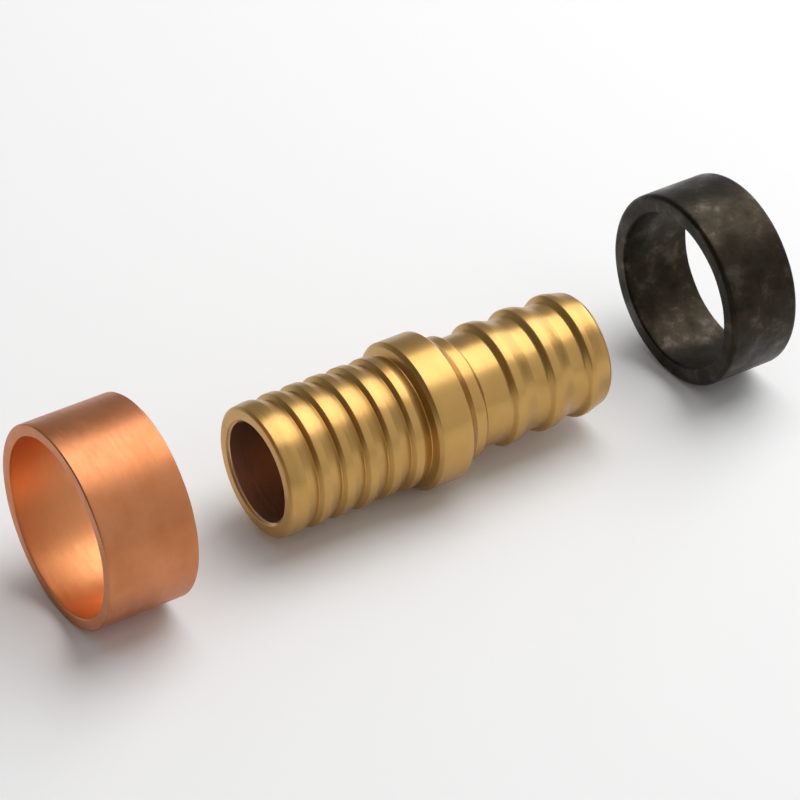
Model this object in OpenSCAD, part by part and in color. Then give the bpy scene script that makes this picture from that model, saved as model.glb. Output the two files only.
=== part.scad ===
// Barbed insert coupling for half-inch flexible water tube, with its two crimp rings.
// One spigot has five narrow barbs for polybutylene tube, the other three wide round ribs for PEX tube.
// The three pieces lie loose in a row on a table. X runs along the row, Z points up, and the origin is on
// the table under the middle of the row. All sizes are in millimetres.

/* [Row] */
// Clear gap between the copper ring and the coupling body
copper_gap = 11.3; // [2:0.1:40]
// Clear gap between the coupling body and the black ring
black_gap = 10.9; // [2:0.1:40]

/* [Crimp rings] */
// Outer diameter of both rings
ring_d = 19.05; // [18.4:0.05:24]
// Length of the copper ring
copper_len = 8.9; // [5:0.1:14]
// Bore diameter of the copper ring
copper_bore_d = 16.8; // [14.6:0.1:17.6]
// Length of the black ring
black_len = 7.5; // [4:0.1:14]
// Bore diameter of the black ring
black_bore_d = 15.5; // [13.8:0.1:17]
// Radius of the black ring's rounded outer edges
black_edge = 0.45; // [0.1:0.05:0.5]

/* [Collar and water way] */
// Diameter of the collar between the two spigots
collar_d = 14.3; // [13.6:0.1:18]
// Length of the collar at its full diameter
collar_w = 3.15; // [1:0.1:12]
// Diameter of the water way through the body
bore_d = 9.6; // [6:0.1:9.8]

/* [Polybutylene spigot] */
// Diameter over the barbs
barb_d = 12.7; // [12.4:0.1:13.2]
// Diameter at the foot of the barbs
barb_foot_d = 11.75; // [11:0.05:12]
// Number of barbs behind the nose band
barbs = 5; // [1:1:10]
// Distance from one barb to the next
barb_pitch = 2.45; // [1.7:0.05:5]
// Length of the nose band up to the first barb
nose_len = 3.1; // [2.8:0.05:8]

/* [PEX spigot] */
// Diameter over the round ribs
rib_d = 11.95; // [11.7:0.05:12.8]
// Diameter at the bottom of the valleys
valley_d = 10.85; // [10.75:0.05:11.2]
// Number of round ribs
ribs = 3; // [1:1:6]
// Distance from one round rib to the next
rib_pitch = 4.15; // [3.3:0.05:8]

/* [Hidden] */
$fn = 96;

// Edges
mouth_chamfer = 0.25;    // chamfer round both mouths of the water way
copper_edge = 0.1;       // chamfer on the sawn edges of the copper ring
black_mouth = 0.15;      // chamfer round both mouths of the black ring

// Nose band
nose_face_d = 11.9;      // diameter of the flat end face
nose_start_d = 12.44;    // diameter behind the end's small chamfer, where the lead-in taper starts
nose_edge = 0.18;        // length of the small chamfer
nose_taper = 1.3;        // distance from the end to the diameter of the barbs
nose_back = 1.35;        // length of the slope down to the first barb

// Each barb, from its foot towards the collar
barb_front = 0.3;        // length of its steep face
barb_crest = 0.8;        // length of its flat crest
last_barb_short = 0.3;   // how much of the last barb's slope the collar hides

// Collar
shoulder_low = 0.3;      // length of the shoulder's steep part
shoulder_high = 0.3;     // length of its rounded upper part
shoulder_drop = 0.4;     // how far that upper part drops
collar_fall = 1.2;       // length of the cone from the collar to the neck
neck_w = 1;              // length of the neck, which is as thick as the round ribs
neck_slope = 0.6;        // length of the slope from the neck to the first valley
first_valley = 2.55;     // length of the first valley

// Each round rib, from its foot away from the collar
rib_front = 0.55;        // length of the short slope
rib_crest = 0.5;         // length of the flat crest
rib_back = 2.15;         // length of the long slope
bead_slope = 1.4;        // length of the last rib's own shallow slope
bead_drop = 0.35;        // how far that slope falls
end_round = 0.5;         // length of the rounded end
end_drop = 0.4;          // how far the end rounds down

// Distances along the body from its nose
shoulder_s = nose_len + barbs * barb_pitch - last_barb_short;
collar_s = shoulder_s + shoulder_low + shoulder_high;
neck_s = collar_s + collar_w + collar_fall;
valley_s = neck_s + neck_w + neck_slope;
last_rib_s = valley_s + first_valley + (ribs - 1) * rib_pitch;
bead_s = last_rib_s + rib_front + rib_crest;
round_s = bead_s + bead_slope;
body_len = round_s + end_round;

// Places along the row
row_len = copper_len + copper_gap + body_len + black_gap + black_len;
copper_x = -row_len / 2;
body_x = copper_x + copper_len + copper_gap;
black_x = body_x + body_len + black_gap;

// Half a cosine wave from diameter a at s to diameter b at s + w, as [radius, distance] points
function wave(s, w, a, b, steps = 6) =
    [for (i = [0 : steps]) [(a + (b - a) * (1 - cos(180 * i / steps)) / 2) / 2, s + w * i / steps]];

nose_outline = [
    [bore_d / 2 + mouth_chamfer, 0],
    [nose_face_d / 2, 0],
    [nose_start_d / 2, nose_edge],
    [barb_d / 2, nose_taper],
    [barb_d / 2, nose_len - nose_back],
    [barb_foot_d / 2, nose_len],
];

// Radius of a barb's slope where the collar cuts the last one
slope_w = barb_pitch - barb_front - barb_crest;
cut_r = barb_foot_d / 2 + (barb_d - barb_foot_d) / 2 * last_barb_short / slope_w;

barbs_outline = [
    for (i = [0 : barbs - 1])
        let (s = nose_len + i * barb_pitch)
        each [
            [barb_d / 2, s + barb_front],
            [barb_d / 2, s + barb_front + barb_crest],
            i < barbs - 1 ? [barb_foot_d / 2, s + barb_pitch] : [cut_r, shoulder_s],
        ]
];

collar_outline = [
    [collar_d / 2 - shoulder_drop, shoulder_s + shoulder_low],
    [collar_d / 2, collar_s],
    [collar_d / 2, collar_s + collar_w],
    [rib_d / 2, neck_s],
    each wave(neck_s + neck_w, neck_slope, rib_d, valley_d),
];

// Every round rib but the last: a short slope up from its foot, a flat crest and a long slope down
ribs_outline = [
    for (i = [0 : 1 : ribs - 2])
        let (s = valley_s + first_valley + i * rib_pitch)
        each concat(
            wave(s, rib_front, valley_d, rib_d, 5),
            wave(s + rib_front + rib_crest, rib_back, rib_d, valley_d))
];

// The last rib falls a little behind its crest and then rounds off into the end face
bead_outline = concat(
    wave(last_rib_s, rib_front, valley_d, rib_d, 5),
    [[rib_d / 2, bead_s]],
    [for (a = [0 : 15 : 90])
        [rib_d / 2 - bead_drop - end_drop * (1 - cos(a)), round_s + end_round * sin(a)]]);

bore_outline = [
    [bore_d / 2 + mouth_chamfer, body_len],
    [bore_d / 2, body_len - mouth_chamfer],
    [bore_d / 2, mouth_chamfer],
];

// Turn an outline of [radius, distance] points about a line along X that starts at x, at height z
module turned(x, z, outline) {
    translate([x, 0, z])
        rotate([0, 90, 0])
            rotate_extrude()
                polygon(outline);
}

module coupling_body() {
    color("goldenrod")
        turned(body_x, collar_d / 2, concat(
            nose_outline, barbs_outline, collar_outline, ribs_outline, bead_outline, bore_outline));
}

module copper_crimp_ring() {
    outer = ring_d / 2;
    inner = copper_bore_d / 2;
    color("peru")
        turned(copper_x, outer, [
            [inner + copper_edge, 0],
            [outer - copper_edge, 0],
            [outer, copper_edge],
            [outer, copper_len - copper_edge],
            [outer - copper_edge, copper_len],
            [inner + copper_edge, copper_len],
            [inner, copper_len - copper_edge],
            [inner, copper_edge],
        ]);
}

// Quarter circle of radius black_edge about [r, s], from angle a to a + 90
function edge_arc(r, s, a, steps = 4) =
    [for (i = [0 : steps])
        let (b = a + 90 * i / steps)
        [r + black_edge * cos(b), s + black_edge * sin(b)]];

module black_crimp_ring() {
    outer = ring_d / 2 - black_edge;
    inner = black_bore_d / 2;
    color("darkslategray")
        turned(black_x, ring_d / 2, concat(
            [[inner, black_mouth], [inner + black_mouth, 0]],
            edge_arc(outer, black_edge, 270),
            edge_arc(outer, black_len - black_edge, 0),
            [[inner + black_mouth, black_len], [inner, black_len - black_mouth]]));
}

coupling_body();
copper_crimp_ring();
black_crimp_ring();
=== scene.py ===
"""Looks of a barbed insert coupling and its two crimp rings, lying in a row on a pale table.

Every piece is turned again from the outline of its own CAD node, with its corners rounded and its surface
worked finer. Outlines and surface sizes are in millimetres. Blender's own objects are in metres.
"""

import math

import bpy
import numpy as np
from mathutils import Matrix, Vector


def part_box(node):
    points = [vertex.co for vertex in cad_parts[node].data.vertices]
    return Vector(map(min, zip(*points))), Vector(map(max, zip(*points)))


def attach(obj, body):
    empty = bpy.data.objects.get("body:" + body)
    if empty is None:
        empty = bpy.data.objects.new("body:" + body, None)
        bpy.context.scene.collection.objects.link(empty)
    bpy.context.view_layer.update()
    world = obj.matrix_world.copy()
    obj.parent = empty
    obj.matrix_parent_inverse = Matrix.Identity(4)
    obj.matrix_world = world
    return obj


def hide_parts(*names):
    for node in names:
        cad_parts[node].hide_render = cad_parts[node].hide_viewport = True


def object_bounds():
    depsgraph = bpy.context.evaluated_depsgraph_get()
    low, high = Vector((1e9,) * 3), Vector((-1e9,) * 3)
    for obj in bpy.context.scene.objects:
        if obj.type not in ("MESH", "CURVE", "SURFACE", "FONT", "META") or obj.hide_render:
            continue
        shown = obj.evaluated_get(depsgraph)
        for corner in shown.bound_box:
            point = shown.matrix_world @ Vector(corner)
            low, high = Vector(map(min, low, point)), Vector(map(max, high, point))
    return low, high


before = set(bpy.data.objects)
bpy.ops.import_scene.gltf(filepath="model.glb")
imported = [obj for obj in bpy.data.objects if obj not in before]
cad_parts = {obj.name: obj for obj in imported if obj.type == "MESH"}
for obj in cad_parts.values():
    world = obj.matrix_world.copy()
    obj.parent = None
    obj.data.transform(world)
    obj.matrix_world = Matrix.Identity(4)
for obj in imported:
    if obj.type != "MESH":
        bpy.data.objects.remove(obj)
cad_lo, cad_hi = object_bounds()

MM = 0.001
ROW_CENTRE = (cad_lo + cad_hi) / 2

# Steps round each turned piece
AROUND = 240

# How far above the bore, in millimetres, a radius passes between the bore's points and the outside's
WALL_MIDDLE = {"coupling_body": 0.35, "copper_crimp_ring": 0.5, "black_crimp_ring": 0.7}

# How many times each wave of a sawn face goes round the ring
LEFT_SAW_WAVES = (1, 2, 3, 5, 9, 14)
RIGHT_SAW_WAVES = (1, 2, 4, 6, 11, 15)

# The camera: its direction from the row in degrees, its distance in metres, its lens and sensor in
# millimetres, and the point that it looks at, in millimetres from the middle of the row
AZIMUTH = -33.27
ELEVATION = 35.83
DISTANCE = 0.3317
LENS = 164.3
SENSOR = 36
AIM = (-1.32, 0, -0.435)

# Half the side of the square table top, in metres
TABLE_HALF = 3.0

# Strength of the room light from the left and from the right, and of the backdrop that the camera sees
ROOM_LEFT = 0.17
ROOM_RIGHT = 0.44
BACKDROP = 0.85


# ---------------------------------------------------------------- outlines

def axis_height(node):
    """Height of a turned CAD node's axis, in millimetres."""
    lo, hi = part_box(node)
    return (lo.z + hi.z) / 2 / MM


def thin_out(rows, near=0.02):
    """The rows without those that lie closer than near to the one before."""
    kept = [rows[0]]
    for row in rows[1:]:
        if np.hypot(*(row - kept[-1])) > near:
            kept.append(row)
    return np.array(kept)


def cad_outline(node):
    """The closed outline that a CAD node is turned from, as rows of x and radius in millimetres."""
    points = np.array([v.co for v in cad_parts[node].data.vertices]) / MM
    radius = np.hypot(points[:, 1], points[:, 2] - axis_height(node))
    rows = np.unique(np.round(np.column_stack([points[:, 0], radius]), 3), axis=0)
    half_wall = radius.min() + WALL_MIDDLE[node]
    outside = thin_out(rows[rows[:, 1] > half_wall])
    bore = thin_out(rows[rows[:, 1] <= half_wall])
    return np.vstack([outside, bore[::-1]])


def rounded(loop, radius, steps=4, least_turn=math.radians(8), most_of_side=0.45):
    """A closed outline with every corner replaced by a curve of about that radius.

    Turns under least_turn stay, and no curve takes more than most_of_side of a side.
    """
    out = []
    for before, here, after in zip(np.roll(loop, 1, axis=0), loop, np.roll(loop, -1, axis=0)):
        back, ahead = before - here, after - here
        back_len, ahead_len = np.hypot(*back), np.hypot(*ahead)
        back, ahead = back / back_len, ahead / ahead_len
        turn = math.pi - math.acos(np.clip(back @ ahead, -1, 1))
        if turn < least_turn:
            out.append(here)
            continue
        reach = min(radius * math.tan(turn / 2), most_of_side * back_len, most_of_side * ahead_len)
        start, end = here + back * reach, here + ahead * reach
        for t in np.linspace(0, 1, steps + 1):
            out.append((1 - t) ** 2 * start + 2 * t * (1 - t) * here + t ** 2 * end)
    return np.array(out)


def subdivided(loop, step):
    """A closed outline with extra points, so that no two neighbours are further apart than step."""
    out = []
    for here, after in zip(loop, np.roll(loop, -1, axis=0)):
        parts = max(1, math.ceil(np.hypot(*(after - here)) / step))
        out += [here + (after - here) * i / parts for i in range(parts)]
    return np.array(out)


# ---------------------------------------------------------------- turned pieces

def turned(name, node, corner, step, around=AROUND, wear=None):
    """A fine mesh of a turned CAD node. wear(x, angle) gives small changes to x."""
    loop = subdivided(rounded(cad_outline(node), corner), step)
    angle = np.arange(around) * 2 * math.pi / around
    x = np.repeat(loop[:, :1], around, axis=1)
    radius = np.repeat(loop[:, 1:], around, axis=1)
    angle = np.repeat(angle[None, :], len(loop), axis=0)
    if wear:
        x = x + wear(x, angle)
    points = np.stack([x, radius * np.sin(angle), axis_height(node) + radius * np.cos(angle)], axis=-1)
    row, column = np.arange(len(loop))[:, None], np.arange(around)[None, :]
    next_row, next_column = (row + 1) % len(loop), (column + 1) % around
    corners = [row * around + column, row * around + next_column,
               next_row * around + next_column, next_row * around + column]
    faces = np.stack(np.broadcast_arrays(*corners), axis=-1).reshape(-1, 4)
    mesh = bpy.data.meshes.new(name)
    mesh.from_pydata((points.reshape(-1, 3) * MM).tolist(), [], faces.tolist())
    mesh.update()
    mesh.shade_smooth()
    piece = bpy.data.objects.new(name, mesh)
    bpy.context.scene.collection.objects.link(piece)
    return piece


def ripple(angle, seed, waves, size, lowest_wave=0.4):
    """A smooth closed wobble round a ring, of at most size: sine waves of fixed random heights."""
    rng = np.random.default_rng(seed)
    heights = rng.uniform(lowest_wave, 1, len(waves))
    phases = rng.uniform(0, 2 * math.pi, len(waves))
    total = sum(h * np.sin(n * angle + p) for n, h, p in zip(waves, heights, phases))
    return size * total / heights.sum()


def sawn_faces(node, depth, seed):
    """Wear for a ring whose two end faces were sawn: each wobbles inwards by up to depth."""
    lo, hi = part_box(node)
    middle = (lo.x + hi.x) / 2 / MM

    def wear(x, angle):
        left = ripple(angle, seed, LEFT_SAW_WAVES, depth) + depth
        right = ripple(angle, seed + 1, RIGHT_SAW_WAVES, depth) + depth
        return np.where(x < middle, left, -right) / 2

    return wear


# ---------------------------------------------------------------- materials

def material(name, colour, metallic, roughness):
    """A new material with a Principled shader, and its node tree and shader."""
    made = bpy.data.materials.new(name)
    made.use_nodes = True
    made.diffuse_color = (*colour, 1)
    shader = made.node_tree.nodes["Principled BSDF"]
    shader.inputs["Base Color"].default_value = (*colour, 1)
    shader.inputs["Metallic"].default_value = metallic
    shader.inputs["Roughness"].default_value = roughness
    return made, made.node_tree, shader


def add(tree, kind, **settings):
    """A new node of that kind with those settings. A setting that names an input sets its value."""
    node = tree.nodes.new(kind)
    for key, value in settings.items():
        if key in node.inputs:
            node.inputs[key].default_value = value
        else:
            setattr(node, key, value)
    return node


def millimetres(tree, node):
    """The piece's own coordinates in millimetres from its axis."""
    place = add(tree, "ShaderNodeTexCoord")
    scaled = add(tree, "ShaderNodeMapping", Scale=(1 / MM,) * 3, Location=(0, 0, -axis_height(node)))
    tree.links.new(place.outputs["Object"], scaled.inputs["Vector"])
    return scaled.outputs["Vector"]


def lathe_coordinates(tree, place):
    """Distance along the axis and radius, so that a pattern runs round the piece as a tool leaves it."""
    across = add(tree, "ShaderNodeVectorMath", operation="MULTIPLY")
    across.inputs[1].default_value = (0, 1, 1)
    radius = add(tree, "ShaderNodeVectorMath", operation="LENGTH")
    parts = add(tree, "ShaderNodeSeparateXYZ")
    both = add(tree, "ShaderNodeCombineXYZ")
    tree.links.new(place, across.inputs[0])
    tree.links.new(across.outputs["Vector"], radius.inputs[0])
    tree.links.new(place, parts.inputs["Vector"])
    tree.links.new(parts.outputs["X"], both.inputs["X"])
    tree.links.new(radius.outputs["Value"], both.inputs["Y"])
    return both.outputs["Vector"]


def noise(tree, place, scale, detail=3, roughness=0.5, stretch=(1, 1, 1)):
    """The value of a noise pattern with about scale lumps to a millimetre, stretched along each axis."""
    mapped = add(tree, "ShaderNodeMapping", Scale=stretch)
    pattern = add(tree, "ShaderNodeTexNoise", Scale=scale, Detail=detail, Roughness=roughness)
    tree.links.new(place, mapped.inputs["Vector"])
    tree.links.new(mapped.outputs["Vector"], pattern.inputs["Vector"])
    return pattern.outputs["Fac"]


def ramp(tree, value, stops):
    """A colour ramp of [position, colour] stops over a value."""
    made = add(tree, "ShaderNodeValToRGB")
    steps = made.color_ramp.elements
    while len(steps) < len(stops):
        steps.new(0.5)
    for step, (position, colour) in zip(steps, stops):
        step.position = position
        step.color = (*colour, 1)
    tree.links.new(value, made.inputs["Fac"])
    return made.outputs["Color"]


def spread(tree, value, low, high, low_in=0.3, high_in=0.7):
    """A value from low_in to high_in moved to between low and high."""
    made = add(tree, "ShaderNodeMapRange", **{
        "From Min": low_in, "From Max": high_in, "To Min": low, "To Max": high})
    tree.links.new(value, made.inputs["Value"])
    return made.outputs["Result"]


def bump(tree, height, depth, under=None):
    """A bump of that depth in millimetres from a height pattern, on top of another bump."""
    made = add(tree, "ShaderNodeBump", Strength=1.0, Distance=depth * MM)
    tree.links.new(height, made.inputs["Height"])
    if under:
        tree.links.new(under, made.inputs["Normal"])
    return made.outputs["Normal"]


def painted_light_bore(tree, rings, edge, outside, inside, blur=0.05):
    """The outside colour, and within a radius of edge the inside colour: a lighter tone, painted light in
    the bore. Edge and blur in millimetres.
    """
    parts = add(tree, "ShaderNodeSeparateXYZ")
    mixed = add(tree, "ShaderNodeMixRGB", Color1=(*inside, 1))
    tree.links.new(rings, parts.inputs["Vector"])
    tree.links.new(spread(tree, parts.outputs["Y"], 0, 1, edge - blur, edge + blur), mixed.inputs["Fac"])
    tree.links.new(outside, mixed.inputs["Color2"])
    return mixed.outputs["Color"]


def brass():
    """Bright turned brass: fine tool rings, duller patches from handling, and a paler, lighter bore that
    is painted light.
    """
    handled = (0.49, 0.288, 0.09)
    bright = (0.55, 0.332, 0.11)
    # Painted light: the bore's colour is lighter than the outside, standing in for light inside the bore.
    bore_painted_light = (0.90, 0.64, 0.48)
    made, tree, shader = material("worked_brass", (0.52, 0.31, 0.10), metallic=1.0, roughness=0.3)
    place = millimetres(tree, "coupling_body")
    rings = lathe_coordinates(tree, place)
    fine = noise(tree, rings, scale=6, detail=4, roughness=0.7)
    coarse = noise(tree, rings, scale=1.3, detail=2)
    patches = noise(tree, place, scale=0.35, detail=4)
    outside = ramp(tree, patches, [(0.3, handled), (0.7, bright)])
    tint = painted_light_bore(tree, rings, edge=4.86, outside=outside, inside=bore_painted_light)
    tree.links.new(tint, shader.inputs["Base Color"])
    tree.links.new(spread(tree, fine, 0.26, 0.36), shader.inputs["Roughness"])
    marks = bump(tree, fine, depth=0.005, under=bump(tree, coarse, depth=0.006))
    tree.links.new(marks, shader.inputs["Normal"])
    return made


def copper():
    """Bright copper tube: drawn smooth, faintly brushed, a little tarnished outside, and lighter inside
    as painted light in the bore.
    """
    tarnished = (0.50, 0.18, 0.070)
    bright = (0.60, 0.24, 0.108)
    # Painted light: the bore's colour is lighter than the outside, standing in for light inside the bore.
    bore_painted_light = (0.73, 0.31, 0.128)
    made, tree, shader = material("drawn_copper", (0.55, 0.21, 0.088), metallic=1.0, roughness=0.38)
    place = millimetres(tree, "copper_crimp_ring")
    rings = lathe_coordinates(tree, place)
    fine = noise(tree, rings, scale=5, detail=4, roughness=0.7)
    streaks = noise(tree, place, scale=0.9, stretch=(3, 0.6, 0.6))
    patches = noise(tree, place, scale=0.3, detail=4)
    outside = ramp(tree, patches, [(0.3, tarnished), (0.7, bright)])
    tint = painted_light_bore(tree, rings, edge=8.5, outside=outside, inside=bore_painted_light)
    tree.links.new(tint, shader.inputs["Base Color"])
    tree.links.new(spread(tree, streaks, 0.34, 0.44), shader.inputs["Roughness"])
    marks = bump(tree, fine, depth=0.005, under=bump(tree, streaks, depth=0.005))
    tree.links.new(marks, shader.inputs["Normal"])
    return made


def oxide():
    """Copper under a black oxide: satin, mottled brown, worn smoother in blotches that are tinted grey as
    painted sheen.
    """
    black = (0.020, 0.017, 0.011)
    brown = (0.034, 0.026, 0.018)
    # Painted sheen: the grey on the smoother blotches stands in for sheen; black and brown are the
    # oxide's own mottle.
    painted_sheen_grey = (0.080, 0.065, 0.053)
    made, tree, shader = material("oxidised_copper", (0.042, 0.034, 0.025), metallic=1.0, roughness=0.45)
    place = millimetres(tree, "black_crimp_ring")
    blotches = noise(tree, place, scale=0.45, detail=5, roughness=0.6)
    grain = noise(tree, place, scale=3.5, detail=4, roughness=0.65)
    tint = ramp(tree, blotches, [(0.35, black), (0.55, brown), (0.72, painted_sheen_grey)])
    tree.links.new(tint, shader.inputs["Base Color"])
    tree.links.new(spread(tree, blotches, 0.50, 0.30), shader.inputs["Roughness"])
    marks = bump(tree, grain, depth=0.02, under=bump(tree, blotches, depth=0.03))
    tree.links.new(marks, shader.inputs["Normal"])
    return made


# ---------------------------------------------------------------- the three pieces

def dress(piece, node, finish):
    """Gives a piece its material, ties it to its CAD node's body, and hides the CAD node."""
    piece.data.materials.append(finish)
    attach(piece, node)
    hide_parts(node)


def coupling():
    """The barbed brass body."""
    piece = turned("barbed_body", "coupling_body", corner=0.1, step=0.5)
    dress(piece, "coupling_body", brass())


def copper_ring():
    """The bright copper ring."""
    saw = sawn_faces("copper_crimp_ring", depth=0.05, seed=4)
    piece = turned("copper_ring", "copper_crimp_ring", corner=0.08, step=0.3, wear=saw)
    dress(piece, "copper_crimp_ring", copper())


def black_ring():
    """The black oxidised copper ring."""
    saw = sawn_faces("black_crimp_ring", depth=0.06, seed=9)
    piece = turned("black_ring", "black_crimp_ring", corner=0.08, step=0.3, wear=saw)
    dress(piece, "black_crimp_ring", oxide())


# ---------------------------------------------------------------- table, light and camera

def table():
    """A plain pale table top under the row."""
    signs = [(-1, -1), (1, -1), (1, 1), (-1, 1)]
    corners = [(x * TABLE_HALF, y * TABLE_HALF, 0) for x, y in signs]
    mesh = bpy.data.meshes.new("table")
    mesh.from_pydata(corners, [], [(0, 1, 2, 3)])
    floor = bpy.data.objects.new("table", mesh)
    bpy.context.scene.collection.objects.link(floor)
    pale = material("pale_table", (0.97, 0.97, 0.97), metallic=0.0, roughness=0.9)[0]
    floor.data.materials.append(pale)


def softbox(name, towards, distance, size, radiance):
    """A square soft light in a direction from the row, facing it. Distance and size in metres."""
    data = bpy.data.lights.new(name, "AREA")
    data.shape = "SQUARE"
    data.size = size
    data.energy = radiance * math.pi * size ** 2
    lamp = bpy.data.objects.new(name, data)
    away = Vector(towards).normalized()
    lamp.location = ROW_CENTRE + away * distance
    lamp.rotation_mode = "QUATERNION"
    lamp.rotation_quaternion = away.to_track_quat("Z", "Y")
    bpy.context.scene.collection.objects.link(lamp)


def world_light():
    """Dim room light, weaker from the left than from the right. The camera sees a pale backdrop."""
    world = bpy.data.worlds.new("room")
    world.use_nodes = True
    bpy.context.scene.world = world
    tree = world.node_tree
    direction = add(tree, "ShaderNodeTexCoord")
    parts = add(tree, "ShaderNodeSeparateXYZ")
    tree.links.new(direction.outputs["Generated"], parts.inputs["Vector"])
    lighting = spread(tree, parts.outputs["X"], ROOM_LEFT, ROOM_RIGHT, low_in=-1, high_in=1)
    ray = add(tree, "ShaderNodeLightPath")
    backdrop = spread(tree, ray.outputs["Is Camera Ray"], 0, BACKDROP, low_in=0, high_in=1)
    brighter = add(tree, "ShaderNodeMath", operation="MAXIMUM")
    tree.links.new(lighting, brighter.inputs[0])
    tree.links.new(backdrop, brighter.inputs[1])
    tree.links.new(brighter.outputs["Value"], tree.nodes["Background"].inputs["Strength"])
    tree.nodes["Background"].inputs["Color"].default_value = (1, 1, 1, 1)


def camera():
    """The camera at the photograph's angle, framing the row as it does."""
    azimuth, elevation = math.radians(AZIMUTH), math.radians(ELEVATION)
    target = ROW_CENTRE + Vector(AIM) * MM
    back = Vector((math.sin(azimuth) * math.cos(elevation),
                   -math.cos(azimuth) * math.cos(elevation),
                   math.sin(elevation)))
    data = bpy.data.cameras.new("camera")
    data.lens = LENS
    data.sensor_width = SENSOR
    data.clip_start = 0.01
    data.clip_end = 10
    made = bpy.data.objects.new("camera", data)
    made.location = target + back * DISTANCE
    made.rotation_mode = "QUATERNION"
    made.rotation_quaternion = back.to_track_quat("Z", "Y")
    bpy.context.scene.collection.objects.link(made)
    bpy.context.scene.camera = made


coupling()
copper_ring()
black_ring()
table()
softbox("overhead", towards=(0.445, 0.09, 0.89), distance=0.55, size=0.5, radiance=2.6)
softbox("right", towards=(0.87, 0.28, 0.42), distance=0.6, size=0.4, radiance=2.1)
softbox("front", towards=(0.45, -0.72, 0.5), distance=0.6, size=0.62, radiance=0.4)
world_light()
camera()
bpy.context.scene.view_settings.view_transform = "Standard"
